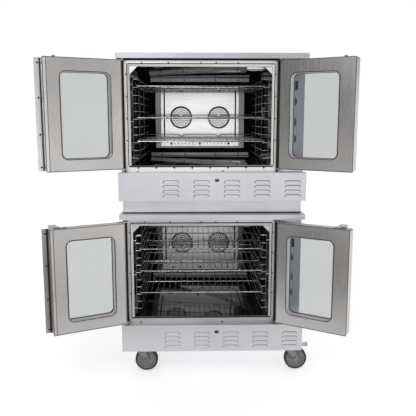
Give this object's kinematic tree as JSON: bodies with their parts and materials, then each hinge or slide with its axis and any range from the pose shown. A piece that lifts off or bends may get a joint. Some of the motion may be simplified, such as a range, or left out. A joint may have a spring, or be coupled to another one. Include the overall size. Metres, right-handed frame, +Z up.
{
  "type": "double-deck convection oven",
  "caption": "Stacked full-size convection oven on casters, with glazed side-hinged doors, sliding wire racks, fan baffles and louvred service panels.",
  "frame": {"origin": "on the floor, under the middle of the whole object's bounding box at rest, with the doors open", "axes": "+Z up, front towards -Y, +X to the right when facing the front"},
  "size_m": [1.534, 1.2949, 1.729],
  "materials": {
    "stainless": "brushed stainless sheet with a fine vertical grain",
    "enamel": "glossy black porcelain enamel on steel",
    "bright_sheet": "pale satin stainless sheet",
    "chrome": "nickel-chrome plated wire",
    "glass": "clear heat-resistant glass with a slight green-grey tint",
    "black_plastic": "satin black phenolic plastic",
    "aluminium": "satin aluminium",
    "motor_paint": "dark grey painted steel",
    "zinc": "bright zinc plate",
    "rubber": "dark grey rubber"
  },
  "bodies": {
    "body": {"lower_casing": "stainless", "lower_top_cover": "stainless", "lower_cavity": "enamel", "lower_fan_baffle": "bright_sheet", "lower_fan_motors": "motor_paint", "lower_rack_guide_left": "chrome", "lower_rack_guide_right": "chrome", "lower_louvre_panel": "stainless", "lower_control_panel": "stainless", "upper_casing": "stainless", "upper_top_cover": "stainless", "upper_cavity": "enamel", "upper_fan_baffle": "bright_sheet", "upper_fan_motors": "motor_paint", "upper_rack_guide_left": "chrome", "upper_rack_guide_right": "chrome", "upper_louvre_panel": "stainless", "upper_control_panel": "stainless", "stacking_spacer": "stainless"},
    "lower_fan_left": {"lower_fan_left": "aluminium"},
    "lower_fan_right": {"lower_fan_right": "aluminium"},
    "lower_left_door": {"lower_left_door_shell": "stainless", "lower_left_door_glass": "glass", "lower_left_door_handle": "stainless", "lower_astragal": "stainless"},
    "lower_right_door": {"lower_right_door_shell": "stainless", "lower_right_door_glass": "glass", "lower_right_door_handle": "stainless"},
    "lower_rack_bottom": {"lower_rack_bottom": "chrome"},
    "lower_rack_middle": {"lower_rack_middle": "chrome"},
    "lower_rack_top": {"lower_rack_top": "chrome"},
    "lower_power_switch": {"lower_power_switch": "black_plastic"},
    "lower_mode_knob": {"lower_mode_knob": "black_plastic"},
    "lower_thermostat_knob": {"lower_thermostat_knob": "black_plastic"},
    "lower_timer_knob": {"lower_timer_knob": "black_plastic"},
    "upper_fan_left": {"upper_fan_left": "aluminium"},
    "upper_fan_right": {"upper_fan_right": "aluminium"},
    "upper_left_door": {"upper_left_door_shell": "stainless", "upper_left_door_glass": "glass", "upper_left_door_handle": "stainless", "upper_astragal": "stainless"},
    "upper_right_door": {"upper_right_door_shell": "stainless", "upper_right_door_glass": "glass", "upper_right_door_handle": "stainless"},
    "upper_rack_bottom": {"upper_rack_bottom": "chrome"},
    "upper_rack_middle": {"upper_rack_middle": "chrome"},
    "upper_rack_top": {"upper_rack_top": "chrome"},
    "upper_power_switch": {"upper_power_switch": "black_plastic"},
    "upper_mode_knob": {"upper_mode_knob": "black_plastic"},
    "upper_thermostat_knob": {"upper_thermostat_knob": "black_plastic"},
    "upper_timer_knob": {"upper_timer_knob": "black_plastic"},
    "front_left_caster_fork": {"front_left_caster_fork": "zinc"},
    "front_left_caster_wheel": {"front_left_caster_wheel": "rubber"},
    "front_right_caster_fork": {"front_right_caster_fork": "zinc"},
    "front_right_caster_wheel": {"front_right_caster_wheel": "rubber"},
    "rear_left_caster_fork": {"rear_left_caster_fork": "zinc"},
    "rear_left_caster_wheel": {"rear_left_caster_wheel": "rubber"},
    "rear_right_caster_fork": {"rear_right_caster_fork": "zinc"},
    "rear_right_caster_wheel": {"rear_right_caster_wheel": "rubber"},
    "front_right_brake_pedal": {"front_right_brake_pedal": "zinc"}
  },
  "joints": [
    {"name": "lower_fan_left_spin", "type": "hinge", "parent": "body", "child": "lower_fan_left", "pos_m": [-0.10037, 0.38526, 0.589], "axis": [0, 1, 0], "continuous": true},
    {"name": "lower_fan_right_spin", "type": "hinge", "parent": "body", "child": "lower_fan_right", "pos_m": [0.14163, 0.38526, 0.589], "axis": [0, 1, 0], "continuous": true},
    {"name": "lower_left_door_hinge", "type": "hinge", "parent": "body", "child": "lower_left_door", "pos_m": [-0.37737, -0.40974, 0.5995], "axis": [0, 0, -1], "range_deg": [-154, 8]},
    {"name": "lower_right_door_hinge", "type": "hinge", "parent": "body", "child": "lower_right_door", "pos_m": [0.42013, -0.40974, 0.5995], "axis": [0, 0, 1], "range_deg": [-148, 6]},
    {"name": "lower_rack_bottom_slide", "type": "slide", "parent": "body", "child": "lower_rack_bottom", "axis": [0, -1, 0], "range_m": [0, 0.45]},
    {"name": "lower_rack_middle_slide", "type": "slide", "parent": "body", "child": "lower_rack_middle", "axis": [0, -1, 0], "range_m": [0, 0.45]},
    {"name": "lower_rack_top_slide", "type": "slide", "parent": "body", "child": "lower_rack_top", "axis": [0, -1, 0], "range_m": [0, 0.45]},
    {"name": "lower_power_switch_rock", "type": "hinge", "parent": "body", "child": "lower_power_switch", "pos_m": [0.49863, -0.37974, 0.75], "axis": [1, 0, 0], "range_deg": [0, 16]},
    {"name": "lower_mode_knob_turn", "type": "hinge", "parent": "body", "child": "lower_mode_knob", "pos_m": [0.48363, -0.37974, 0.671], "axis": [0, 1, 0], "range_deg": [0, 90]},
    {"name": "lower_thermostat_knob_turn", "type": "hinge", "parent": "body", "child": "lower_thermostat_knob", "pos_m": [0.48363, -0.37974, 0.565], "axis": [0, 1, 0], "range_deg": [0, 270]},
    {"name": "lower_timer_knob_turn", "type": "hinge", "parent": "body", "child": "lower_timer_knob", "pos_m": [0.48363, -0.37974, 0.478], "axis": [0, 1, 0], "range_deg": [0, 300]},
    {"name": "upper_fan_left_spin", "type": "hinge", "parent": "body", "child": "upper_fan_left", "pos_m": [-0.10037, 0.38526, 1.41], "axis": [0, 1, 0], "continuous": true},
    {"name": "upper_fan_right_spin", "type": "hinge", "parent": "body", "child": "upper_fan_right", "pos_m": [0.14163, 0.38526, 1.41], "axis": [0, 1, 0], "continuous": true},
    {"name": "upper_left_door_hinge", "type": "hinge", "parent": "body", "child": "upper_left_door", "pos_m": [-0.37737, -0.40974, 1.4205], "axis": [0, 0, -1], "range_deg": [-154, 8]},
    {"name": "upper_right_door_hinge", "type": "hinge", "parent": "body", "child": "upper_right_door", "pos_m": [0.42013, -0.40974, 1.4205], "axis": [0, 0, 1], "range_deg": [-148, 6]},
    {"name": "upper_rack_bottom_slide", "type": "slide", "parent": "body", "child": "upper_rack_bottom", "axis": [0, -1, 0], "range_m": [0, 0.45]},
    {"name": "upper_rack_middle_slide", "type": "slide", "parent": "body", "child": "upper_rack_middle", "axis": [0, -1, 0], "range_m": [0, 0.45]},
    {"name": "upper_rack_top_slide", "type": "slide", "parent": "body", "child": "upper_rack_top", "axis": [0, -1, 0], "range_m": [0, 0.45]},
    {"name": "upper_power_switch_rock", "type": "hinge", "parent": "body", "child": "upper_power_switch", "pos_m": [0.49863, -0.37974, 1.571], "axis": [1, 0, 0], "range_deg": [0, 16]},
    {"name": "upper_mode_knob_turn", "type": "hinge", "parent": "body", "child": "upper_mode_knob", "pos_m": [0.48363, -0.37974, 1.492], "axis": [0, 1, 0], "range_deg": [0, 90]},
    {"name": "upper_thermostat_knob_turn", "type": "hinge", "parent": "body", "child": "upper_thermostat_knob", "pos_m": [0.48363, -0.37974, 1.386], "axis": [0, 1, 0], "range_deg": [0, 270]},
    {"name": "upper_timer_knob_turn", "type": "hinge", "parent": "body", "child": "upper_timer_knob", "pos_m": [0.48363, -0.37974, 1.299], "axis": [0, 1, 0], "range_deg": [0, 300]},
    {"name": "front_left_caster_swivel", "type": "hinge", "parent": "body", "child": "front_left_caster_fork", "pos_m": [-0.34137, -0.28474, 0.16], "axis": [0, 0, 1], "continuous": true},
    {"name": "front_left_caster_roll", "type": "hinge", "parent": "front_left_caster_fork", "child": "front_left_caster_wheel", "pos_m": [-0.28787, -0.28474, 0.0635], "axis": [0, 1, 0], "continuous": true},
    {"name": "front_right_caster_swivel", "type": "hinge", "parent": "body", "child": "front_right_caster_fork", "pos_m": [0.49863, -0.28474, 0.16], "axis": [0, 0, 1], "continuous": true},
    {"name": "front_right_caster_roll", "type": "hinge", "parent": "front_right_caster_fork", "child": "front_right_caster_wheel", "pos_m": [0.55213, -0.28474, 0.0635], "axis": [0, 1, 0], "continuous": true},
    {"name": "rear_left_caster_swivel", "type": "hinge", "parent": "body", "child": "rear_left_caster_fork", "pos_m": [-0.34137, 0.51526, 0.16], "axis": [0, 0, 1], "continuous": true},
    {"name": "rear_left_caster_roll", "type": "hinge", "parent": "rear_left_caster_fork", "child": "rear_left_caster_wheel", "pos_m": [-0.28787, 0.51526, 0.0635], "axis": [0, 1, 0], "continuous": true},
    {"name": "rear_right_caster_swivel", "type": "hinge", "parent": "body", "child": "rear_right_caster_fork", "pos_m": [0.49863, 0.51526, 0.16], "axis": [0, 0, 1], "continuous": true},
    {"name": "rear_right_caster_roll", "type": "hinge", "parent": "rear_right_caster_fork", "child": "rear_right_caster_wheel", "pos_m": [0.55213, 0.51526, 0.0635], "axis": [0, 1, 0], "continuous": true},
    {"name": "front_right_brake_pedal_press", "type": "hinge", "parent": "front_right_caster_fork", "child": "front_right_brake_pedal", "pos_m": [0.52263, -0.28474, 0.1405], "axis": [0, 1, 0], "range_deg": [0, 14]}
  ]
}
